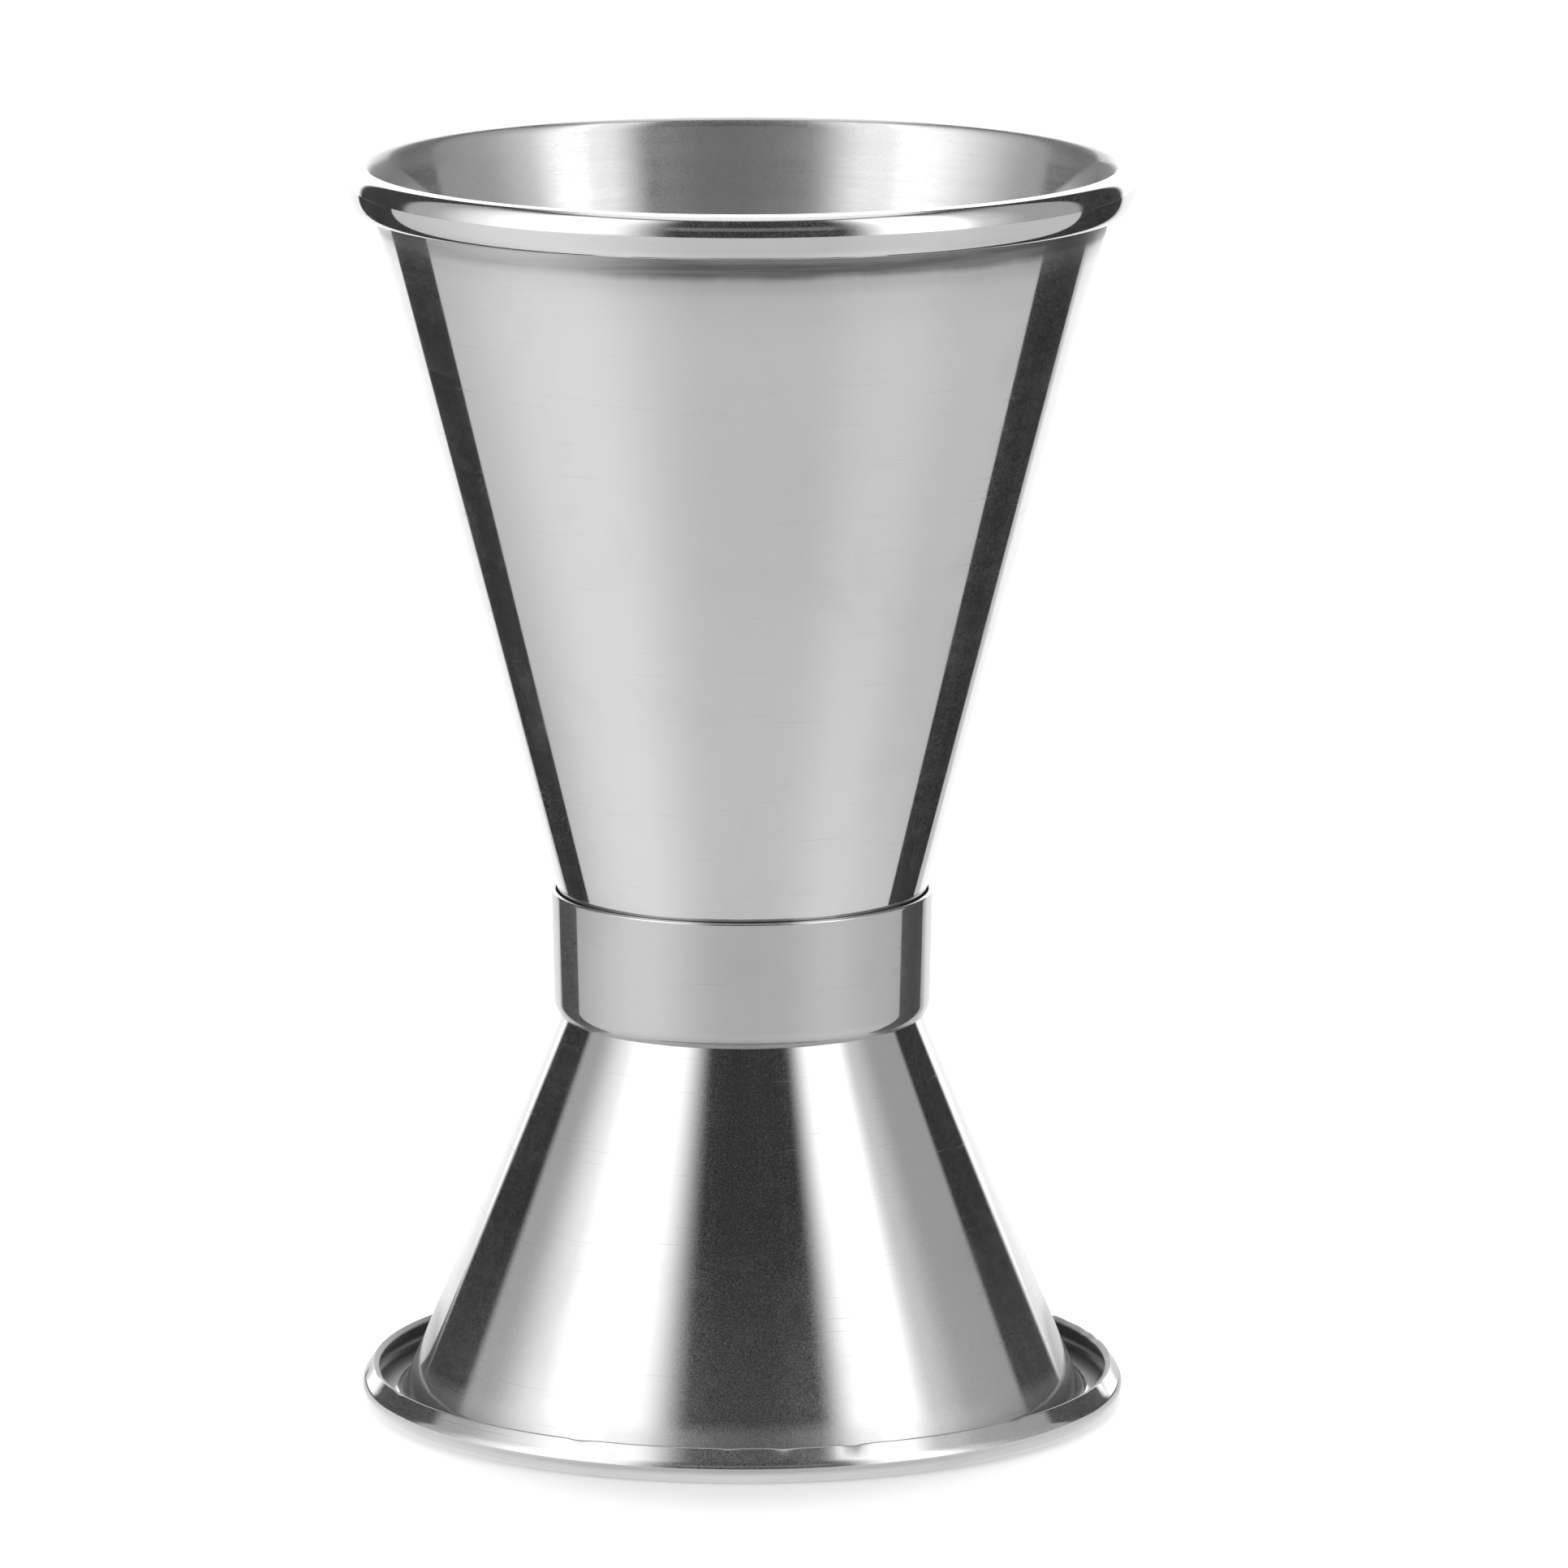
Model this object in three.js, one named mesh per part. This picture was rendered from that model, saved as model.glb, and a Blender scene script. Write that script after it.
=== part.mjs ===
// Bar jigger: two conical measures joined base to base, with a collar band round the waist.
// Millimetres, +Z up. The origin is on the axis, at the centre of the ring it stands on.
import * as THREE from 'three';

// Driving dimensions
const HEIGHT = 86;
const CUP_SHEET = 0.5;
const BASE_CORNER_RADIUS = 1.4;

// Upper cup: the wall leans out by its half angle, and the mouth is curled outwards and down.
const UPPER_HALF_ANGLE = THREE.MathUtils.degToRad(14.8);
const UPPER_OUTER_RADIUS = 26.95;
const UPPER_CREST_RADIUS = 25.98;
const UPPER_CREST_LAND = 0.3;
const UPPER_CURL_INNER_RADIUS = 25.2;
const UPPER_CURL_TIP_RADIUS = 26.2;
const UPPER_CURL_HEIGHT = 3;

// Lower cup: mouth down, with a flat ring to stand on. Its edge is rolled up and leans inwards.
const LOWER_HALF_ANGLE = THREE.MathUtils.degToRad(22.8);
const LOWER_MOUTH_RADIUS = 23.4;
const LOWER_FILLET_RADIUS = 0.85;
const LOWER_OUTER_RADIUS = 26.35;
const LOWER_ROLL_RADIUS = 1;
const LOWER_EDGE_HEIGHT = 2.45;
const LOWER_EDGE_LEAN = THREE.MathUtils.degToRad(34);

// Collar band: a slightly tapered ring whose lower edge is turned in towards the lower cup.
const COLLAR_SHEET = 0.35;
const COLLAR_TOP = 35.85;
const COLLAR_TOP_RADIUS = 13.15;
const COLLAR_WAIST = 28.2;
const COLLAR_WAIST_RADIUS = 12.97;
const COLLAR_TURN_RADIUS = 1.65;
const COLLAR_TURN_ANGLE = THREE.MathUtils.degToRad(41);

// Projection welds that hold the two cup bases together.
const WELD_PLANE = 31.4;
const WELD_THICKNESS = 0.2;
const WELD_DIAMETER = 3;
const WELD_CIRCLE_RADIUS = 5.5;
const WELD_COUNT = 3;

// Fineness of the facets
const TURN_SEGMENTS = 60;
const WELD_SEGMENTS = 24;
const ARC_STEP = Math.PI / 8;

// Materials
const UPPER_STEEL = { color: 0xd4d5d4, roughness: 0.06, metalness: 1 };
const LOWER_STEEL = { color: 0xcfd0cf, roughness: 0.06, metalness: 1 };
const COLLAR_STEEL = { color: 0xc9cac9, roughness: 0.09, metalness: 1 };
const WELD_STEEL = { color: 0x8f8f8d, roughness: 0.5, metalness: 1 };

// A point of an outline, in the half-plane that is turned round the axis.
function point(radius, height) {
  return new THREE.Vector2(radius, height);
}

// The direction from one point to another.
function heading(from, to) {
  return to.clone().sub(from).normalize();
}

// An elliptical arc round a centre. Angles are in radians, from the outward direction.
function arc(centre, reachOut, reachUp, from, to) {
  const steps = Math.ceil(Math.abs(to - from) / ARC_STEP);
  const points = [];
  for (let i = 0; i <= steps; i += 1) {
    const angle = THREE.MathUtils.lerp(from, to, i / steps);
    const out = reachOut * Math.cos(angle);
    const up = reachUp * Math.sin(angle);
    points.push(point(centre.x + out, centre.y + up));
  }
  return points;
}

// Rounds the corner between two straight runs with an arc that is tangent to both.
function roundedCorner(before, corner, after, radius) {
  const back = heading(corner, before);
  const ahead = heading(corner, after);
  const halfAngle = back.angleTo(ahead) / 2;
  const reach = radius / Math.tan(halfAngle);
  const start = corner.clone().addScaledVector(back, reach);
  const end = corner.clone().addScaledVector(ahead, reach);
  const inward = back.clone().add(ahead).normalize();
  const centre = corner.clone().addScaledVector(inward, radius / Math.sin(halfAngle));
  const from = heading(centre, start).angle();
  const difference = heading(centre, end).angle() - from;
  const turn = Math.atan2(Math.sin(difference), Math.cos(difference));
  return arc(centre, radius, radius, from, from + turn);
}

// Moves a line sideways, to the right of its own direction, with mitred corners.
function offsetLine(line, distance) {
  const last = line.length - 1;
  return line.map((here, i) => {
    const arriving = heading(line[Math.max(i, 1) - 1], line[Math.max(i, 1)]);
    const leaving = heading(line[Math.min(i, last - 1)], line[Math.min(i, last - 1) + 1]);
    const along = arriving.clone().add(leaving).normalize();
    const mitre = distance / along.dot(leaving);
    return point(here.x + along.y * mitre, here.y - along.x * mitre);
  });
}

// Gives the middle line of a sheet its thickness and turns it round the vertical axis.
function turnedSheet(name, line, thickness, finish) {
  const rightFace = offsetLine(line, thickness / 2);
  const leftFace = offsetLine(line, -thickness / 2);
  const outline = [...rightFace, ...leftFace.reverse()];
  const isRing = line[0].x > 0 && line[line.length - 1].x > 0;
  if (isRing) {
    outline.push(outline[0].clone());
  }
  const geometry = new THREE.LatheGeometry(outline, TURN_SEGMENTS);
  geometry.rotateX(Math.PI / 2);
  const mesh = new THREE.Mesh(geometry, new THREE.MeshStandardMaterial(finish));
  mesh.name = name;
  return mesh;
}

// The middle line runs from the centre of the base, up the wall, over the crest and down the curl.
function makeUpperCup() {
  const half = CUP_SHEET / 2;
  const slope = Math.tan(UPPER_HALF_ANGLE);
  const curlCentre = HEIGHT - UPPER_CURL_HEIGHT / 2;
  const rise = UPPER_CURL_HEIGHT / 2 - half;

  const innerCentre = point(UPPER_CREST_RADIUS - UPPER_CREST_LAND / 2, curlCentre);
  const innerReach = innerCentre.x - UPPER_CURL_INNER_RADIUS - half;
  // The wall runs into the curl where both have the same slope.
  const wallAngle = Math.PI - Math.atan((slope * rise) / innerReach);
  const innerCurl = arc(innerCentre, innerReach, rise, wallAngle, Math.PI / 2);

  const outerCentre = point(UPPER_CREST_RADIUS + UPPER_CREST_LAND / 2, curlCentre);
  const outerReach = UPPER_OUTER_RADIUS - half - outerCentre.x;
  const outerCurl = arc(outerCentre, outerReach, rise, Math.PI / 2, 0);

  const tipCentre = point(UPPER_CURL_TIP_RADIUS, curlCentre);
  const tipReach = UPPER_OUTER_RADIUS - half - tipCentre.x;
  const tipCurl = arc(tipCentre, tipReach, rise, 0, -Math.PI / 2).slice(1);

  const wallTop = innerCurl[0];
  const base = WELD_PLANE + WELD_THICKNESS / 2 + half;
  const baseCentre = point(0, base);
  const baseEdge = point(wallTop.x - (wallTop.y - base) * slope, base);
  const baseCorner = roundedCorner(baseCentre, baseEdge, wallTop, BASE_CORNER_RADIUS);
  const line = [baseCentre, ...baseCorner, ...innerCurl, ...outerCurl, ...tipCurl];
  return turnedSheet('upper_cup', line, CUP_SHEET, UPPER_STEEL);
}

// The middle line runs from the centre of the base, down the wall, along the foot and up the edge.
function makeLowerCup() {
  const half = CUP_SHEET / 2;
  const slope = Math.tan(LOWER_HALF_ANGLE);
  const base = WELD_PLANE - WELD_THICKNESS / 2 - half;
  const baseCentre = point(0, base);
  const baseEdge = point(LOWER_MOUTH_RADIUS - (base - half) * slope, base);
  const foot = point(LOWER_MOUTH_RADIUS, half);

  const rollCentre = point(LOWER_OUTER_RADIUS - LOWER_ROLL_RADIUS, LOWER_ROLL_RADIUS);
  const rollReach = LOWER_ROLL_RADIUS - half;
  const roll = arc(rollCentre, rollReach, rollReach, -Math.PI / 2, LOWER_EDGE_LEAN);
  const rollTop = roll[roll.length - 1];
  const edgeHeight = LOWER_EDGE_HEIGHT - half * Math.sin(LOWER_EDGE_LEAN);
  const edgeInset = (edgeHeight - rollTop.y) * Math.tan(LOWER_EDGE_LEAN);
  const edge = point(rollTop.x - edgeInset, edgeHeight);

  const baseCorner = roundedCorner(baseCentre, baseEdge, foot, BASE_CORNER_RADIUS);
  const footFillet = roundedCorner(baseEdge, foot, roll[0], LOWER_FILLET_RADIUS);
  const line = [baseCentre, ...baseCorner, ...footFillet, ...roll, edge];
  return turnedSheet('lower_cup', line, CUP_SHEET, LOWER_STEEL);
}

function makeCollarBand() {
  const half = COLLAR_SHEET / 2;
  const turnCentre = point(COLLAR_WAIST_RADIUS - COLLAR_TURN_RADIUS, COLLAR_WAIST);
  const turnReach = COLLAR_TURN_RADIUS - half;
  const turn = arc(turnCentre, turnReach, turnReach, -COLLAR_TURN_ANGLE, 0);
  const top = point(COLLAR_TOP_RADIUS - half, COLLAR_TOP);
  return turnedSheet('collar_band', [...turn, top], COLLAR_SHEET, COLLAR_STEEL);
}

function makeWeldNugget(index) {
  const radius = WELD_DIAMETER / 2;
  const geometry = new THREE.CylinderGeometry(radius, radius, WELD_THICKNESS, WELD_SEGMENTS);
  geometry.rotateX(Math.PI / 2);
  const mesh = new THREE.Mesh(geometry, new THREE.MeshStandardMaterial(WELD_STEEL));
  const angle = (index / WELD_COUNT) * 2 * Math.PI;
  const x = WELD_CIRCLE_RADIUS * Math.cos(angle);
  const y = WELD_CIRCLE_RADIUS * Math.sin(angle);
  mesh.position.set(x, y, WELD_PLANE);
  mesh.name = `weld_nugget_${index + 1}`;
  return mesh;
}

const jigger = new THREE.Group();
jigger.add(makeUpperCup());
jigger.add(makeLowerCup());
jigger.add(makeCollarBand());
for (let i = 0; i < WELD_COUNT; i += 1) {
  jigger.add(makeWeldNugget(i));
}

export default jigger;
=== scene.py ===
"""Bar jigger: two polished steel measures joined base to base, with a collar band round the waist.

Metres, +Z up. The origin is on the axis, at the centre of the ring that the jigger stands on.
"""

import math

import bmesh
import bpy
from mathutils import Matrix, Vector, noise


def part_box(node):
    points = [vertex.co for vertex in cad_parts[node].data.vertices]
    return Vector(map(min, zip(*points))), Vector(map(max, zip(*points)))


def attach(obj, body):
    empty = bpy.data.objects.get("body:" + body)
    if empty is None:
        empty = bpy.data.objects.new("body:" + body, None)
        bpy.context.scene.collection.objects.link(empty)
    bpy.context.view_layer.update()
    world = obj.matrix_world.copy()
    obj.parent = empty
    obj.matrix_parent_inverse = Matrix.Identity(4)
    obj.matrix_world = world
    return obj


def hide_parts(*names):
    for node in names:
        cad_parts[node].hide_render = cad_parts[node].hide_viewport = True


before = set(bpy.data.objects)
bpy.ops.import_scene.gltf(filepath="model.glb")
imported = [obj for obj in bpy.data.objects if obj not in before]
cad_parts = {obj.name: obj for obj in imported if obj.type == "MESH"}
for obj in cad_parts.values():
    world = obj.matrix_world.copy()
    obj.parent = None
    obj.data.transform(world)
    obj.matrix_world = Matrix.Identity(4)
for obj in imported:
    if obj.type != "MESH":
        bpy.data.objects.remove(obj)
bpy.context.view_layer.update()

MM = 0.001
scene = bpy.context.scene

# Heights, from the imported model, and the outer radii of the two rims
upper_low, upper_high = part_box("upper_cup")
HEIGHT = upper_high.z
UPPER_BASE = upper_low.z
LOWER_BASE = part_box("lower_cup")[1].z
COLLAR_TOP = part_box("collar_band")[1].z
UPPER_OUTER_RADIUS = 26.95 * MM
LOWER_OUTER_RADIUS = 26.35 * MM

# The cups' sheet, and the corners between their bases and walls
SHEET = 0.5 * MM
BASE_CORNER_RADIUS = 1.4 * MM

# Upper cup: half angle of the wall and the outward curl of its mouth
UPPER_HALF_ANGLE = math.radians(14.8)
CREST_INNER_RADIUS = 25.83 * MM
CREST_OUTER_RADIUS = 26.13 * MM
UPPER_CURL_INNER_RADIUS = 25.18 * MM
UPPER_CURL_TIP_RADIUS = 26.2 * MM
UPPER_CURL_HEIGHT = 3 * MM
CURL_FOLD_RADIUS = 0.1 * MM

# Lower cup: half angle of the wall, flat foot ring, and the edge that is rolled up and leans in.
# The lean is in degrees.
LOWER_HALF_ANGLE = math.radians(22.8)
LOWER_MOUTH_RADIUS = 23.4 * MM
LOWER_FILLET_RADIUS = 0.85 * MM
LOWER_ROLL_RADIUS = 1 * MM
LOWER_EDGE_HEIGHT = 2.45 * MM
LOWER_EDGE_LEAN = 34
CUT_EDGE_RADIUS = 0.1 * MM

# Collar band: slightly tapered, with its lower edge turned in by an angle in degrees
COLLAR_SHEET = 0.35 * MM
COLLAR_TOP_RADIUS = 13.15 * MM
COLLAR_WAIST = 28.2 * MM
COLLAR_WAIST_RADIUS = 12.97 * MM
COLLAR_TURN_RADIUS = 1.65 * MM
COLLAR_TURN_ANGLE = 41

# Fineness of the turned meshes: steps round the axis, and degrees of an arc's step
TURN_SEGMENTS = 288
ARC_STEP = 6
RING_SPACING = 1.5 * MM
HOLDING_DISTANCE = 0.08 * MM

# Hand-polished metal is never a perfect cone: how far it waves, and over what length round a
# circle of this radius
WAVE_DEPTH = 0.006 * MM
WAVE_LENGTH = 16 * MM
WAVE_CIRCLE_RADIUS = 26 * MM

# Nicks in the lower cup's cut edge, outside this radius and in this much of the edge's height
NICKS_PER_RADIAN = 14
NICK_DEPTH = 0.3 * MM
NICK_THRESHOLD = 0.15
NICKED_RADIUS = 25 * MM
NICKED_HEIGHT = 0.5 * MM


# ---- Outlines, in the half-plane that is turned round the axis ----

def point(radius, height):
    return Vector((radius, height))


def arc(centre, reach_out, reach_up, start, end):
    """An elliptical arc round a centre, with angles in degrees from the outward direction."""
    steps = max(2, math.ceil(abs(end - start) / ARC_STEP))
    points = []
    for i in range(steps + 1):
        angle = math.radians(start + (end - start) * i / steps)
        offset = point(reach_out * math.cos(angle), reach_up * math.sin(angle))
        points.append(centre + offset)
    return points


def rounded_corner(before, corner, after, radius):
    """The arc that is tangent to both straight runs of a corner."""
    back = (before - corner).normalized()
    ahead = (after - corner).normalized()
    half_angle = back.angle(ahead) / 2
    reach = radius / math.tan(half_angle)
    centre = corner + (back + ahead).normalized() * radius / math.sin(half_angle)
    first = corner + back * reach - centre
    last = corner + ahead * reach - centre
    start = math.degrees(math.atan2(first.y, first.x))
    turn = math.degrees(math.atan2(first.x * last.y - first.y * last.x, first.dot(last)))
    return arc(centre, radius, radius, start, start + turn)


def with_rings(outline):
    """Adds points along the long straight runs, with one close to each end to hold the shading."""
    finished = [outline[0]]
    for here, there in zip(outline, outline[1:]):
        run = there - here
        if run.length > 4 * HOLDING_DISTANCE:
            inset = run.normalized() * HOLDING_DISTANCE
            steps = math.ceil(run.length / RING_SPACING)
            finished.append(here + inset)
            finished += [here + run * i / steps for i in range(1, steps)]
            finished.append(there - inset)
        finished.append(there)
    return finished


# ---- Meshes ----

def wave(direction, height):
    """A smooth, small in-and-out of a wall, the same every time."""
    spread = WAVE_CIRCLE_RADIUS / WAVE_LENGTH
    place = Vector((direction.x * spread, direction.y * spread, height / WAVE_LENGTH))
    return noise.noise(place) * WAVE_DEPTH


def turned(name, outline, closed=False):
    """Turns an outline round the axis. Points with no radius become one vertex."""
    mesh = bmesh.new()
    directions = []
    for i in range(TURN_SEGMENTS):
        angle = 2 * math.pi * i / TURN_SEGMENTS
        directions.append(Vector((math.cos(angle), math.sin(angle), 0)))
    rings = []
    for place in with_rings(outline):
        height = Vector((0, 0, place.y))
        if place.x < 1e-9:
            rings.append([mesh.verts.new(height)] * TURN_SEGMENTS)
            continue
        ring = []
        for direction in directions:
            radius = place.x + wave(direction, place.y) * min(1, place.x / COLLAR_WAIST_RADIUS)
            ring.append(mesh.verts.new(direction * radius + height))
        rings.append(ring)
    pairs = list(zip(rings, rings[1:]))
    if closed:
        pairs.append((rings[-1], rings[0]))
    for lower, upper in pairs:
        for i in range(TURN_SEGMENTS):
            j = (i + 1) % TURN_SEGMENTS
            corners = dict.fromkeys((lower[i], lower[j], upper[j], upper[i]))
            mesh.faces.new(list(corners)).smooth = True
    bmesh.ops.recalc_face_normals(mesh, faces=mesh.faces)
    data = bpy.data.meshes.new(name)
    mesh.to_mesh(data)
    mesh.free()
    piece = bpy.data.objects.new(name, data)
    scene.collection.objects.link(piece)
    return piece


def nick_cut_edge(piece):
    """Small dents along the top of the lower cup's cut edge."""
    for vertex in piece.data.vertices:
        place = vertex.co
        if place.xy.length > NICKED_RADIUS and place.z > LOWER_EDGE_HEIGHT - NICKED_HEIGHT:
            dent = noise.noise(place.xy.normalized().to_3d() * NICKS_PER_RADIAN)
            share = (place.z - LOWER_EDGE_HEIGHT) / NICKED_HEIGHT + 1
            place.z -= max(0, dent - NICK_THRESHOLD) * NICK_DEPTH * share


def hand_over(piece, node, material):
    """The piece stands for its CAD node and wears the material."""
    piece.data.materials.append(material)
    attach(piece, "root")
    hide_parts(node)


def upper_cup_outline():
    """From the cup's floor up the inside, over the curl, and down the outside to the base."""
    half = SHEET / 2
    slope = math.tan(UPPER_HALF_ANGLE)
    wall_width = SHEET / math.cos(UPPER_HALF_ANGLE)
    curl_rise = UPPER_CURL_HEIGHT / 2
    curl_height = HEIGHT - curl_rise
    inner_reach = CREST_INNER_RADIUS - UPPER_CURL_INNER_RADIUS

    # The inside of the wall runs into the curl where both have the same slope.
    meeting = math.degrees(math.pi - math.atan(slope * curl_rise / inner_reach))
    inner_curl = arc(point(CREST_INNER_RADIUS, curl_height), inner_reach, curl_rise, meeting, 90)
    outer_reach = UPPER_OUTER_RADIUS - CREST_OUTER_RADIUS
    outer_curl = arc(point(CREST_OUTER_RADIUS, curl_height), outer_reach, curl_rise, 90, 0)
    tip_reach = UPPER_OUTER_RADIUS - UPPER_CURL_TIP_RADIUS
    tip_centre = point(UPPER_CURL_TIP_RADIUS, curl_height)
    tip_curl = arc(tip_centre, tip_reach, curl_rise, 0, -90)[1:]

    # The curl's edge is rounded, and the inside of the curl follows it back to the wall.
    edge_centre = point(UPPER_CURL_TIP_RADIUS, curl_height - curl_rise + half)
    edge = arc(edge_centre, half, half, -90, -270)[1:-1]
    hidden_rise = curl_rise - SHEET
    hidden_tip = arc(tip_centre, tip_reach - SHEET, hidden_rise, -90, 0)
    hidden_centre = point(CREST_OUTER_RADIUS, curl_height)
    hidden_curl = arc(hidden_centre, outer_reach - SHEET, hidden_rise, 0, 90)[1:]

    inside_top = inner_curl[0]

    def wall(height, inwards=0):
        return point(inside_top.x - (inside_top.y - height) * slope + wall_width - inwards, height)

    fold = wall(HEIGHT - SHEET)
    floor = UPPER_BASE + SHEET
    outer_corner = wall(UPPER_BASE)
    inner_corner = wall(floor, wall_width)
    fold_turn = rounded_corner(hidden_curl[-1], fold, outer_corner, CURL_FOLD_RADIUS)
    inside_turn = rounded_corner(
        point(0, floor), inner_corner, inside_top, BASE_CORNER_RADIUS - half
    )
    outside_turn = rounded_corner(
        fold, outer_corner, point(0, UPPER_BASE), BASE_CORNER_RADIUS + half
    )
    bead = inner_curl + outer_curl + tip_curl + edge
    inside = [point(0, floor)] + inside_turn
    outside = hidden_tip + hidden_curl + fold_turn + outside_turn + [point(0, UPPER_BASE)]
    return inside + bead + outside


def lower_cup_outline():
    """From the ceiling down the inside, round the foot and rolled edge, and up the outside."""
    half = SHEET / 2
    slope = math.tan(LOWER_HALF_ANGLE)
    wall_width = SHEET / math.cos(LOWER_HALF_ANGLE)

    def wall(height, side):
        middle = LOWER_MOUTH_RADIUS - (height - half) * slope
        return point(middle + side * wall_width / 2, height)

    roll_centre = point(LOWER_OUTER_RADIUS - LOWER_ROLL_RADIUS, LOWER_ROLL_RADIUS)
    ceiling = LOWER_BASE - SHEET
    inside_turn = rounded_corner(
        point(0, ceiling), wall(ceiling, -1), wall(0, -1), BASE_CORNER_RADIUS - half
    )
    foot_turn = rounded_corner(
        wall(ceiling, -1), wall(0, -1), point(roll_centre.x, 0), LOWER_FILLET_RADIUS + half
    )
    outer_roll = arc(roll_centre, LOWER_ROLL_RADIUS, LOWER_ROLL_RADIUS, -90, LOWER_EDGE_LEAN)
    inner_reach = LOWER_ROLL_RADIUS - SHEET
    inner_roll = arc(roll_centre, inner_reach, inner_reach, LOWER_EDGE_LEAN, -90)

    # Above the roll the sheet runs straight to its cut edge, which has small rounded corners.
    lean = math.radians(LOWER_EDGE_LEAN)
    outwards = point(math.cos(lean), math.sin(lean))
    rise = LOWER_EDGE_HEIGHT - outer_roll[-1].y
    outer_tip = outer_roll[-1] + point(-rise * math.tan(lean), rise)
    inner_tip = outer_tip - outwards * SHEET
    outer_edge = rounded_corner(outer_roll[-1], outer_tip, inner_tip, CUT_EDGE_RADIUS)
    inner_edge = rounded_corner(outer_tip, inner_tip, inner_roll[0], CUT_EDGE_RADIUS)

    groove_turn = rounded_corner(
        point(roll_centre.x, SHEET), wall(SHEET, 1), wall(LOWER_BASE, 1), LOWER_FILLET_RADIUS - half
    )
    outside_turn = rounded_corner(
        wall(SHEET, 1), wall(LOWER_BASE, 1), point(0, LOWER_BASE), BASE_CORNER_RADIUS + half
    )
    inside = [point(0, ceiling)] + inside_turn + foot_turn
    edge = outer_roll + outer_edge + inner_edge + inner_roll
    outside = groove_turn + outside_turn + [point(0, LOWER_BASE)]
    return inside + edge + outside


def collar_outline():
    """A closed section: up the outside, over the top edge, down the inside, round the lower edge."""
    half = COLLAR_SHEET / 2
    flare = COLLAR_TOP_RADIUS - COLLAR_WAIST_RADIUS
    taper = math.degrees(math.atan2(flare, COLLAR_TOP - COLLAR_WAIST))
    turn_centre = point(COLLAR_WAIST_RADIUS - COLLAR_TURN_RADIUS, COLLAR_WAIST)
    outer_reach = COLLAR_TURN_RADIUS
    inner_reach = COLLAR_TURN_RADIUS - COLLAR_SHEET
    outer_turn = arc(turn_centre, outer_reach, outer_reach, -COLLAR_TURN_ANGLE, -taper)
    inner_turn = arc(turn_centre, inner_reach, inner_reach, -taper, -COLLAR_TURN_ANGLE)
    top_centre = point(COLLAR_TOP_RADIUS - half, COLLAR_TOP - half)
    top_edge = arc(top_centre, half, half, -taper, 180 - taper)
    low_centre = (outer_turn[0] + inner_turn[-1]) / 2
    low_start = 180 - COLLAR_TURN_ANGLE
    low_edge = arc(low_centre, half, half, low_start, low_start + 180)[1:-1]
    return outer_turn + top_edge + inner_turn + low_edge


def weld_outline(radius, low, high):
    """A flat button with a rounded rim."""
    half = (high - low) / 2
    rim = arc(point(radius - half, low + half), half, half, -90, 90)
    return [point(0, low)] + rim + [point(0, high)]


# ---- Node helpers ----

class Graph:
    """Short names for the nodes that the materials use."""

    def __init__(self, owner):
        owner.use_nodes = True
        self.tree = owner.node_tree
        self.tree.nodes.clear()

    def add(self, kind, settings=None, **inputs):
        node = self.tree.nodes.new(kind)
        for name, value in (settings or {}).items():
            setattr(node, name, value)
        for name, value in inputs.items():
            self.feed(node.inputs[name.replace("_", " ")], value)
        return node

    def feed(self, socket, value):
        if isinstance(value, bpy.types.NodeSocket):
            self.tree.links.new(value, socket)
        else:
            socket.default_value = value

    def math(self, operation, first, second=0.0, clamp=False):
        node = self.add("ShaderNodeMath", {"operation": operation, "use_clamp": clamp})
        self.feed(node.inputs[0], first)
        self.feed(node.inputs[1], second)
        return node.outputs[0]

    def ramp(self, value, low, high, at_low=0.0, at_high=1.0):
        """A smooth step from at_low to at_high as value goes from low to high."""
        node = self.add(
            "ShaderNodeMapRange",
            {"interpolation_type": "SMOOTHSTEP"},
            Value=value,
            From_Min=low,
            From_Max=high,
            To_Min=at_low,
            To_Max=at_high,
        )
        return node.outputs[0]

    def noise(self, vector, scale, detail=2.0, roughness=0.5, distortion=0.0):
        node = self.add(
            "ShaderNodeTexNoise",
            Vector=vector,
            Scale=scale,
            Detail=detail,
            Roughness=roughness,
            Distortion=distortion,
        )
        return node.outputs[0]

    def vector(self, x, y, z):
        return self.add("ShaderNodeCombineXYZ", X=x, Y=y, Z=z).outputs[0]

    def scaled(self, vector, scale, rotation=(0, 0, 0)):
        node = self.add("ShaderNodeMapping", Vector=vector, Scale=scale, Rotation=rotation)
        return node.outputs[0]

    def blend(self, factor, first, second):
        """A colour between first and second."""
        node = self.add("ShaderNodeMix", {"data_type": "RGBA"})
        self.feed(node.inputs[0], factor)
        self.feed(node.inputs[6], first)
        self.feed(node.inputs[7], second)
        return node.outputs[2]

    def add_up(self, *values):
        total = values[0]
        for value in values[1:]:
            total = self.math("ADD", total, value)
        return total


def grey(level):
    return (level, level, level, 1)


# ---- Materials ----

# The metal's bright and hazy facets, which are too small to see one by one
POLISHED_ROUGHNESS = 0.045
HAZE_ROUGHNESS = 0.42
FACET_SIZE = 0.01 * MM

# The inside of a cup against its outside: how much it reflects, and how much streakier it is
INSIDE_REFLECTANCE = 0.86
INSIDE_STREAKINESS = 0.5

# Marks, with their sizes and what they add to the share of haze
TURNING_LINE_SPACING = 0.3 * MM
STREAK_SPACING = 1.6 * MM
SMUDGE_SIZE = 9 * MM
HAZE_IN_SMUDGES = 0.06
HAZE_IN_DRAWN_LINES = 0.12
RELIEF_DEPTH = 0.0006 * MM

# Metal that the polishing wheel doesn't reach, darkened to this colour as painted shade
UNPOLISHED_AND_SHADE_COLOUR = (0.12, 0.118, 0.115, 1)

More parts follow.
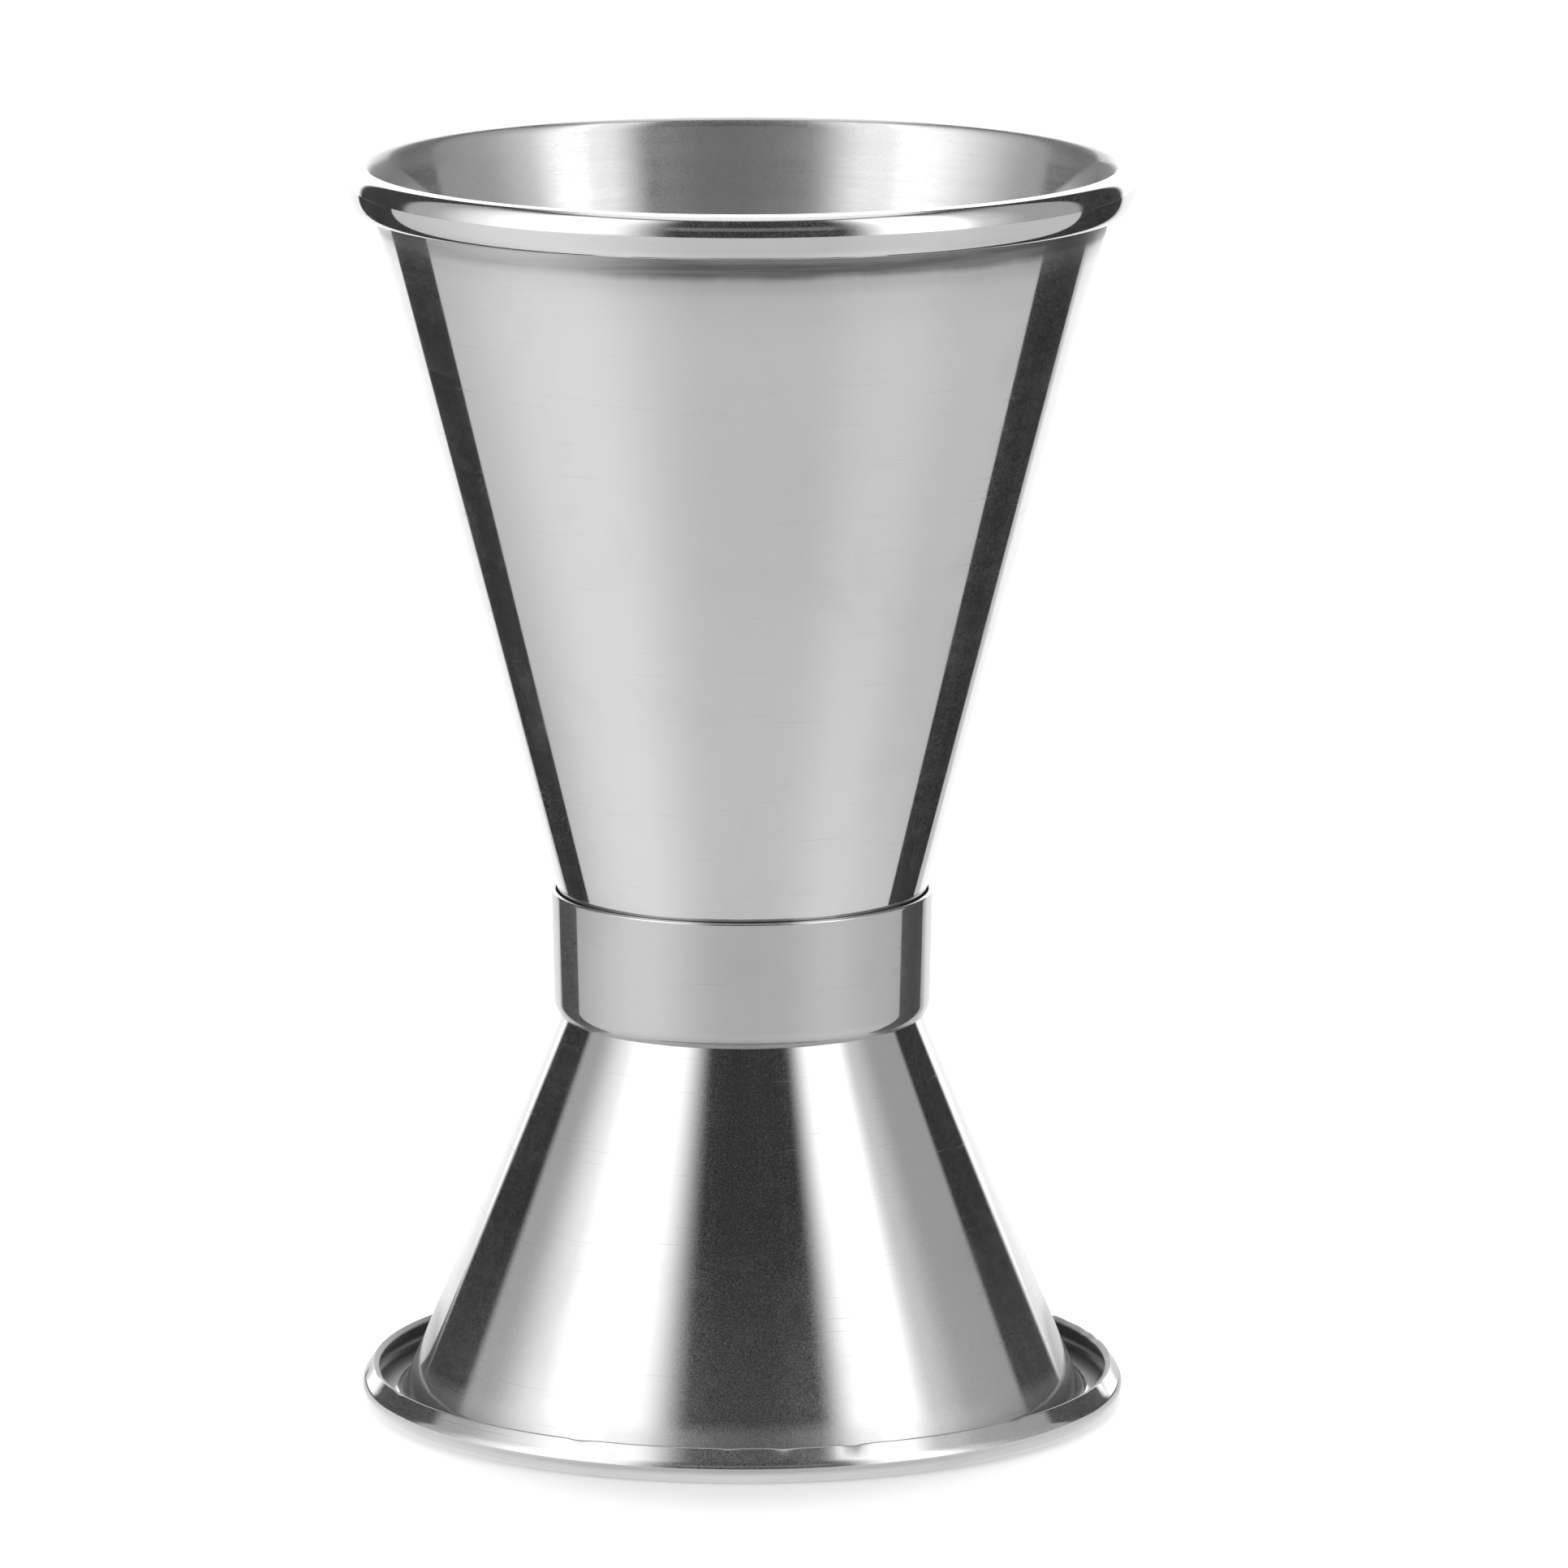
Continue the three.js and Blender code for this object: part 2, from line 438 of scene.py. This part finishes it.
# Hairline scratches from washing up, drawn on the wall unrolled at this radius. Angles in degrees.
SCRATCH_ANGLES = (12, 64, -38)
SCRATCH_LENGTH = 9 * MM
SCRATCH_WIDTH = 0.09 * MM
UNROLLED_RADIUS = 20 * MM


def survey(g):
    """Where a point is on a turned piece, and how far its surface faces away from the axis."""
    place = g.add("ShaderNodeTexCoord").outputs["Object"]
    split = g.add("ShaderNodeSeparateXYZ", Vector=place)
    x, y, height = split.outputs[0], split.outputs[1], split.outputs[2]
    radius = g.math("SQRT", g.add_up(g.math("MULTIPLY", x, x), g.math("MULTIPLY", y, y)))
    safe_radius = g.math("MAXIMUM", radius, 0.1 * MM)
    around_x = g.math("DIVIDE", x, safe_radius)
    around_y = g.math("DIVIDE", y, safe_radius)
    facing = g.add("ShaderNodeVectorMath", {"operation": "DOT_PRODUCT"})
    g.feed(facing.inputs[0], g.add("ShaderNodeNewGeometry").outputs["Normal"])
    g.feed(facing.inputs[1], g.vector(around_x, around_y, 0.0))
    return {
        "place": place,
        "x": x,
        "y": y,
        "height": height,
        "radius": radius,
        "around_x": around_x,
        "around_y": around_y,
        "climb": g.add_up(height, g.math("MULTIPLY", radius, 0.6)),
        "outward": facing.outputs["Value"],
    }


def turned_noise(g, spot, spacing, *settings):
    """Noise that runs round the axis, so it changes quickly with height and radius only."""
    steps = g.math("MULTIPLY", spot["climb"], 1 / spacing)
    return g.noise(g.vector(spot["around_x"], spot["around_y"], steps), *settings)


def hairline_scratches(g, spot):
    """Scratches on the unrolled wall: long in one direction, thin across it."""
    azimuth = g.math("ARCTAN2", spot["x"], g.math("MULTIPLY", spot["y"], -1.0))
    unrolled = g.vector(g.math("MULTIPLY", azimuth, UNROLLED_RADIUS), spot["climb"], 0.0)
    scratches = 0.0
    for angle in SCRATCH_ANGLES:
        scale = (1 / SCRATCH_LENGTH, 1 / SCRATCH_WIDTH, 1)
        course = g.scaled(unrolled, scale, (0, 0, math.radians(angle)))
        scratches = g.add_up(g.ramp(g.noise(course, 1.0, 0.0), 0.79, 0.84), scratches)
    return g.math("MINIMUM", scratches, 1.0)


def polished_steel(name, reflectance, haze, inside_haze, streakiness, dull_and_shade=None, worn=None):
    """Mirror-polished sheet. A share of its facets, the haze, is too rough to mirror.

    Streaks, smudges and hairline scratches vary the finish, and the inside is left hazier. If
    given, the first optional function returns how far the metal is left hazy and how much painted
    shade darkens it, and worn a further share of haze.
    """
    material = bpy.data.materials.new(name)
    g = Graph(material)
    spot = survey(g)
    inside = g.ramp(spot["outward"], -0.35, 0.1, 1.0, 0.0)

    lines = turned_noise(g, spot, TURNING_LINE_SPACING, 1.0, 3.0, 0.7)
    spot["streaks"] = turned_noise(g, spot, STREAK_SPACING, 1.4, 3.0, 0.6, 0.6)
    smudges = g.ramp(g.noise(spot["place"], 1 / SMUDGE_SIZE, 4.0, 0.6, 0.8), 0.5, 0.72)
    scratches = hairline_scratches(g, spot)

    # Fine lines run up and down the wall, from drawing the sheet.
    slow_height = g.math("MULTIPLY", spot["height"], 6.0)
    drawn = g.noise(g.vector(spot["around_x"], spot["around_y"], slow_height), 9.0, 3.0, 0.5)

    # Metal left hazy, with painted shade: the same share adds haze and blends in a dark colour.
    unpolished_and_shade = dull_and_shade(g, spot) if dull_and_shade else 0.0
    further_haze = worn(g, spot) if worn else 0.0

    streak_strength = g.add_up(g.math("MULTIPLY", inside, INSIDE_STREAKINESS), streakiness)
    share = g.add_up(
        g.math("MULTIPLY", inside, inside_haze - haze),
        g.math("MULTIPLY", g.math("SUBTRACT", spot["streaks"], 0.5), streak_strength),
        g.math("MULTIPLY", g.math("SUBTRACT", drawn, 0.45), HAZE_IN_DRAWN_LINES),
        g.math("MULTIPLY", smudges, HAZE_IN_SMUDGES),
        unpolished_and_shade,
        further_haze,
        haze,
    )
    cells = g.add("ShaderNodeTexVoronoi", Vector=spot["place"], Scale=1 / FACET_SIZE)
    facet = g.add("ShaderNodeSeparateXYZ", Vector=cells.outputs["Color"]).outputs[0]
    hazy = g.math("LESS_THAN", facet, share)
    bright = g.add_up(
        g.math("MULTIPLY", lines, 0.02),
        g.math("MULTIPLY", smudges, 0.03),
        g.math("MULTIPLY", scratches, 0.15),
        POLISHED_ROUGHNESS,
    )
    rough = g.math("MAXIMUM", bright, g.math("MULTIPLY", hazy, HAZE_ROUGHNESS))

    lit = g.blend(inside, grey(reflectance), grey(reflectance * INSIDE_REFLECTANCE))
    clean = g.blend(g.math("MULTIPLY", smudges, 0.4), lit, grey(reflectance * 0.9))
    scored = g.blend(g.math("MULTIPLY", scratches, 0.4), clean, grey(reflectance * 0.75))
    # Painted shade: where the metal is left hazy under the curl or in the groove, a dark colour is
    # blended in.
    colour = g.blend(unpolished_and_shade, scored, UNPOLISHED_AND_SHADE_COLOUR)

    relief = g.add_up(
        g.math("MULTIPLY", lines, 0.35),
        g.math("MULTIPLY", scratches, -0.5),
        g.math("MULTIPLY", smudges, 0.3),
    )
    bump = g.add("ShaderNodeBump", Height=relief, Strength=1.0, Distance=RELIEF_DEPTH)
    shader = g.add("ShaderNodeBsdfPrincipled", Metallic=1.0, Base_Color=colour, Roughness=rough)
    g.feed(shader.inputs["Normal"], bump.outputs[0])
    output = g.add("ShaderNodeOutputMaterial")
    g.feed(output.inputs["Surface"], shader.outputs[0])
    return material


def ragged_height(g, spot, level, depth):
    """A height that wanders by depth on the way round: where the polishing wheel stopped, and where
    the painted shade under the upper curl ends.
    """
    ragged = g.noise(g.vector(spot["around_x"], spot["around_y"], 0.0), 2.6, 6.0, 0.62)
    return g.math("ADD", g.math("MULTIPLY", g.math("SUBTRACT", ragged, 0.5), depth), level)


def under_upper_curl(g, spot):
    """The wall's outside just under the upper curl: hazy, and darkened with painted shade. Both are
    weaker on one side, and fade downwards.
    """
    edge = ragged_height(g, spot, HEIGHT - 4.55 * MM, 1.1 * MM)
    above = g.math("SUBTRACT", spot["height"], edge)
    ring = g.ramp(above, -0.25 * MM, 0.5 * MM, 0.0, 0.58)
    smear = g.ramp(above, -1.6 * MM, 0.2 * MM, 0.0, 0.22)
    fade = g.ramp(above, -5 * MM, 0.2 * MM, 0.0, 0.11)
    # Painted shade is weaker on the left, the side the light comes from.
    side = g.ramp(spot["around_x"], -0.6, -0.1, 0.42, 1.0)
    patchy = g.ramp(spot["streaks"], 0.3, 0.7, 0.8, 1.1)
    dullness_and_shade = g.math("MULTIPLY", g.math("MULTIPLY", g.add_up(ring, smear, fade), side), patchy)
    below_bead = g.ramp(spot["radius"], 25.9 * MM, 26.1 * MM, 1.0, 0.0)
    outside = g.ramp(spot["outward"], 0.2, 0.6)
    return g.math("MULTIPLY", dullness_and_shade, g.math("MULTIPLY", below_bead, outside))


def inside_upper_curl(g, spot):
    """At two sides the flare between the inside wall and the crest is only brushed."""
    flare = g.ramp(spot["height"], HEIGHT - 2.4 * MM, HEIGHT - 1.2 * MM, 0.0, 0.3)
    sideways = g.ramp(g.math("ABSOLUTE", spot["around_x"]), 0.6, 0.85)
    inside = g.ramp(spot["outward"], -0.2, 0.1, 1.0, 0.0)
    return g.math("MULTIPLY", flare, g.math("MULTIPLY", sideways, inside))


def inside_lower_roll(g, spot):
    """The inner side of the lower cup's rolled edge: hazy as it was rolled, and darkened in the
    groove as painted shade.
    """
    beyond_mouth = g.ramp(spot["radius"], 23.8 * MM, 24.2 * MM)
    above_foot = g.ramp(spot["height"], 0.3 * MM, 0.45 * MM)
    inwards = g.ramp(spot["outward"], 0.35, 0.85, 0.78, 0.0)
    return g.math("MULTIPLY", inwards, g.math("MULTIPLY", beyond_mouth, above_foot))


def lower_rim_wear(g, spot):
    """The rolled edge is rubbed by the counter, and the wall's foot beside it is hard to polish."""
    above = g.math("SUBTRACT", spot["height"], ragged_height(g, spot, 2.9 * MM, 0.6 * MM))
    corner = g.ramp(above, -0.7 * MM, 0.7 * MM, 0.36, 0.0)
    foot = g.math("ADD", corner, g.ramp(above, 0.0, 13 * MM, 0.13, 0.0))
    wall = g.ramp(spot["radius"], 24.6 * MM, 24.8 * MM, 1.0, 0.0)
    roll = g.ramp(spot["radius"], 25.2 * MM, 25.6 * MM, 0.0, 0.18)
    either = g.math("ADD", g.math("MULTIPLY", foot, wall), roll)
    return g.math("MULTIPLY", either, g.ramp(spot["outward"], 0.2, 0.5))


def collar_turn(g, spot):
    """The lowest part of the collar's turned-in edge keeps a satin finish."""
    return g.ramp(spot["height"], COLLAR_WAIST - 1.1 * MM, COLLAR_WAIST - 0.4 * MM, 0.45, 0.0)


def weld_metal():
    """Grey, slightly blued metal where the bases were fused."""
    material = bpy.data.materials.new("weld_metal")
    g = Graph(material)
    place = g.add("ShaderNodeTexCoord").outputs["Object"]
    grain = g.noise(place, 1 / (0.25 * MM), 4.0, 0.7)
    heat = g.ramp(g.noise(place, 1 / (1.5 * MM), 2.0), 0.4, 0.65)
    colour = g.blend(heat, (0.3, 0.3, 0.31, 1), (0.2, 0.19, 0.21, 1))
    rough = g.math("MULTIPLY_ADD", grain, 0.3)
    rough.node.inputs[2].default_value = 0.35
    bump = g.add("ShaderNodeBump", Height=grain, Strength=1.0, Distance=0.01 * MM)
    shader = g.add("ShaderNodeBsdfPrincipled", Metallic=1.0, Base_Color=colour, Roughness=rough)
    g.feed(shader.inputs["Normal"], bump.outputs[0])
    output = g.add("ShaderNodeOutputMaterial")
    g.feed(output.inputs["Surface"], shader.outputs[0])
    return material


# ---- Stage ----

FLOOR_RADIUS = 1.2
FLOOR_WHITE = 0.9
DARK_ROOM = 0.045
BOARD_BLACK = 0.035

# Soft light as the jigger sees it: azimuth from the camera's side, positive to the right, half
# width and blur of its sides, lowest and highest elevation, blur of those, and radiance. Degrees.
SOFT_PANELS = (
    {"azimuth": -50, "half": 19.5, "blur": 24, "low": -10, "high": 55, "fade": 12, "light": 1.75},
    {"azimuth": -78, "half": 12, "blur": 30, "low": -10, "high": 50, "fade": 20, "light": 0.9},
    {"azimuth": -83.5, "half": 31, "blur": 6, "low": -10, "high": 50, "fade": 20, "light": 0.5},
    {"azimuth": 52, "half": 15, "blur": 18, "low": -10, "high": 55, "fade": 12, "light": 1.75},
    {"azimuth": 68, "half": 15, "blur": 20, "low": -10, "high": 50, "fade": 20, "light": 0.4},
    {"azimuth": 84, "half": 31.5, "blur": 4, "low": -10, "high": 50, "fade": 20, "light": 0.45},
    {"azimuth": 3, "half": 26, "blur": 8, "low": 15, "high": 26, "fade": 6, "light": 0.18},
    {"azimuth": 179, "half": 34, "blur": 6, "low": -10, "high": 75, "fade": 10, "light": 1.85},
    {"azimuth": 0, "half": 190, "blur": 5, "low": 62, "high": 120, "fade": 10, "light": 1.25},
)

# The floor as reflections see it: its tone, and the directions in which it is lighter, in degrees,
# which is painted light. Close to the jigger it is painted more evenly light, which fades out
# over this reach.
FLOOR_TONE = 0.83
PAINTED_FLOOR_LIGHT = (
    {"azimuth": -62, "half": 30, "blur": 50, "gain": 0.3},
    {"azimuth": 53, "half": 17, "blur": 30, "gain": 0.11},
    {"azimuth": 180, "half": 36, "blur": 4, "gain": 0.52},
)
EVEN_FLOOR_TONE = 1.13
EVEN_FLOOR_REACH = (40 * MM, 110 * MM)
EVEN_FLOOR_SHARE = 0.6

# A soft shadow painted on the floor round the jigger, seen by the camera only, falls a little
# towards the camera.
PAINTED_SHADOW_CENTRE = (0, -9 * MM, 0)

# Black boards lie either side behind the jigger, where only reflections see them: the azimuths
# of their edges, how far they reach from the axis, and how far their edges pass in front of it.
BLACK_BOARDS = {"left": (-122, -148), "right": (115.5, 144)}
BOARD_NEAR = 32 * MM
BOARD_FAR = 1.2
BOARD_OFFSET = 16 * MM
BOARD_HEIGHT = 0.1 * MM

# The camera: focal length and sensor in millimetres, place in metres, and degrees below level
CAMERA_LENS = 254.4
CAMERA_SENSOR = 36
CAMERA_PLACE = (0, -0.7492, 0.184)
CAMERA_TILT = 10.657
CAMERA_SHIFT = 0.0267


def sector(g, level_direction, azimuth, half, blur):
    """1 for a level direction within the angle half of an azimuth, 0 outside, with blurred sides."""
    angle = math.radians(azimuth)
    facing = g.add("ShaderNodeVectorMath", {"operation": "DOT_PRODUCT"})
    g.feed(facing.inputs[0], level_direction)
    facing.inputs[1].default_value = (math.sin(angle), -math.cos(angle), 0)
    away = g.math("DEGREES", g.math("ARCCOSINE", facing.outputs["Value"]))
    return g.ramp(away, half - blur / 2, half + blur / 2, 1.0, 0.0)


def levelled(g, vector):
    """The level direction of a vector."""
    split = g.add("ShaderNodeSeparateXYZ", Vector=vector)
    level = g.add("ShaderNodeVectorMath", {"operation": "NORMALIZE"})
    g.feed(level.inputs[0], g.vector(split.outputs[0], split.outputs[1], 0.0))
    return level.outputs[0]


def make_surroundings():
    """White to the camera. To the metal it is a dark room with soft panels and a top light."""
    world = bpy.data.worlds.new("studio")
    scene.world = world
    g = Graph(world)
    view = g.add("ShaderNodeTexCoord").outputs["Generated"]
    upwards = g.add("ShaderNodeSeparateXYZ", Vector=view).outputs[2]
    elevation = g.math("DEGREES", g.math("ARCSINE", upwards))
    level = levelled(g, view)
    light = DARK_ROOM
    for panel in SOFT_PANELS:
        fade = panel["fade"] / 2
        across = sector(g, level, panel["azimuth"], panel["half"], panel["blur"])
        above = g.ramp(elevation, panel["low"] - fade, panel["low"] + fade)
        below = g.ramp(elevation, panel["high"] - fade, panel["high"] + fade, 1.0, 0.0)
        window = g.math("MULTIPLY", g.math("MULTIPLY", across, above), below)
        light = g.add_up(light, g.math("MULTIPLY", window, panel["light"]))
    seen = g.add("ShaderNodeLightPath").outputs["Is Camera Ray"]
    background = g.add("ShaderNodeBackground")
    g.feed(background.inputs["Color"], grey(1))
    hidden = g.math("MULTIPLY", g.math("SUBTRACT", 1.0, seen), light)
    g.feed(background.inputs["Strength"], g.math("ADD", seen, hidden))
    output = g.add("ShaderNodeOutputWorld")
    g.feed(output.inputs["Surface"], background.outputs[0])


def painted_reflected_tone(g, place, distance):
    """Painted light on the floor as reflections see it: how light it is by direction and distance
    from the axis.
    """
    level = levelled(g, place)
    tone = FLOOR_TONE
    for patch in PAINTED_FLOOR_LIGHT:
        lighter = sector(g, level, patch["azimuth"], patch["half"], patch["blur"])
        tone = g.add_up(tone, g.math("MULTIPLY", lighter, patch["gain"]))
    even = g.ramp(distance, *EVEN_FLOOR_REACH, EVEN_FLOOR_SHARE, 0.0)
    patchy = g.math("MULTIPLY", tone, g.math("SUBTRACT", 1.0, even))
    return g.math("ADD", patchy, g.math("MULTIPLY", even, EVEN_FLOOR_TONE))


def pale_floor():
    """A white card. To the camera its glow whitens it away from the jigger, leaving a painted shadow
    round the foot; to reflections it is toned with painted light, and near the rim it glows to light
    the rim from below.
    """
    material = bpy.data.materials.new("pale_floor")
    g = Graph(material)
    seen = g.add("ShaderNodeLightPath").outputs["Is Camera Ray"]
    unseen = g.math("SUBTRACT", 1.0, seen)
    place = g.add("ShaderNodeNewGeometry").outputs["Position"]
    reach = g.add("ShaderNodeVectorMath", {"operation": "LENGTH"})
    g.feed(reach.inputs[0], place)
    distance = reach.outputs["Value"]
    tone = painted_reflected_tone(g, place, distance)
    # Painted light: reflections see the floor's painted tone, the camera plain white.
    reflected = g.math("ADD", g.math("MULTIPLY", unseen, tone), seen)
    toned = g.math("MULTIPLY", reflected, FLOOR_WHITE)
    card = g.add("ShaderNodeBsdfDiffuse", Color=g.vector(toned, toned, toned))
    shade_reach = g.add("ShaderNodeVectorMath", {"operation": "DISTANCE"})
    g.feed(shade_reach.inputs[0], place)
    shade_reach.inputs[1].default_value = PAINTED_SHADOW_CENTRE
    beyond = g.math("SUBTRACT", shade_reach.outputs["Value"], LOWER_OUTER_RADIUS)
    # Painted shadow: the glow the camera sees is weaker near the jigger.
    whitening = g.ramp(beyond, -10 * MM, 3.5 * MM, 0.13, 0.42)
    rim = LOWER_OUTER_RADIUS
    # Painted light: near the rim the floor glows to reflections, lighting the rim from below.
    filling = g.ramp(distance, rim - 1 * MM, rim + 2 * MM, 0.5, 0.0)
    glow = g.add_up(g.math("MULTIPLY", seen, whitening), g.math("MULTIPLY", unseen, filling))
    both = g.add("ShaderNodeAddShader")
    g.feed(both.inputs[0], card.outputs[0])
    g.feed(both.inputs[1], g.add("ShaderNodeEmission", Strength=glow).outputs[0])
    output = g.add("ShaderNodeOutputMaterial")
    g.feed(output.inputs["Surface"], both.outputs[0])
    return material


def make_floor():
    mesh = bmesh.new()
    bmesh.ops.create_circle(mesh, cap_ends=True, radius=FLOOR_RADIUS, segments=96)
    data = bpy.data.meshes.new("floor")
    mesh.to_mesh(data)
    mesh.free()
    data.materials.append(pale_floor())
    floor = bpy.data.objects.new("floor", data)
    scene.collection.objects.link(floor)


def make_black_board(name, edges):
    """A board that only reflections see: it gives the polished walls their dark stripes."""
    corners = []
    for azimuth, distances in zip(edges, ((BOARD_NEAR, BOARD_FAR), (BOARD_FAR, BOARD_NEAR))):
        angle = math.radians(azimuth)
        away = Vector((math.sin(angle), -math.cos(angle), 0))
        offset = math.copysign(BOARD_OFFSET, azimuth)
        sideways = Vector((math.cos(angle), math.sin(angle), 0)) * offset
        corners += [away * distance - sideways for distance in distances]
    for corner in corners:
        corner.z = BOARD_HEIGHT
    data = bpy.data.meshes.new(name)
    data.from_pydata(corners, [], [(0, 1, 2, 3)])
    board = bpy.data.objects.new(name, data)
    scene.collection.objects.link(board)
    board.visible_camera = False
    board.visible_diffuse = False
    board.visible_shadow = False
    material = bpy.data.materials.new(name)
    g = Graph(material)
    paint = g.add("ShaderNodeEmission", Color=grey(BOARD_BLACK), Strength=1.0)
    output = g.add("ShaderNodeOutputMaterial")
    g.feed(output.inputs["Surface"], paint.outputs[0])
    data.materials.append(material)


def make_camera():
    """A long lens in front, above the rim. The shift puts the jigger left of the middle."""
    data = bpy.data.cameras.new("camera")
    data.lens = CAMERA_LENS
    data.sensor_width = CAMERA_SENSOR
    data.shift_x = CAMERA_SHIFT
    data.clip_start = 0.01
    camera = bpy.data.objects.new("camera", data)
    camera.location = CAMERA_PLACE
    camera.rotation_euler = (math.radians(90 - CAMERA_TILT), 0, 0)
    scene.collection.objects.link(camera)
    scene.camera = camera


# ---- The jigger ----

upper_steel = polished_steel(
    "upper_steel", 0.65, 0.06, 0.52, 0.08, dull_and_shade=under_upper_curl, worn=inside_upper_curl
)
lower_steel = polished_steel(
    "lower_steel", 0.62, 0.04, 0.34, 0.03, dull_and_shade=inside_lower_roll, worn=lower_rim_wear
)
collar_steel = polished_steel("collar_steel", 0.55, 0.3, 0.5, 0.1, worn=collar_turn)
welded = weld_metal()

hand_over(turned("upper_cup_shell", upper_cup_outline()), "upper_cup", upper_steel)
lower_cup = turned("lower_cup_shell", lower_cup_outline())
nick_cut_edge(lower_cup)
hand_over(lower_cup, "lower_cup", lower_steel)
collar = turned("collar_band_shell", collar_outline(), closed=True)
hand_over(collar, "collar_band", collar_steel)
for index in (1, 2, 3):
    node = f"weld_nugget_{index}"
    low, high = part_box(node)
    button = turned(f"weld_button_{index}", weld_outline((high.x - low.x) / 2, low.z, high.z))
    button.location = ((low.x + high.x) / 2, (low.y + high.y) / 2, 0)
    hand_over(button, node, welded)

make_floor()
for side, edges in BLACK_BOARDS.items():
    make_black_board(f"black_board_{side}", edges)
make_surroundings()
make_camera()
scene.view_settings.view_transform = "Standard"
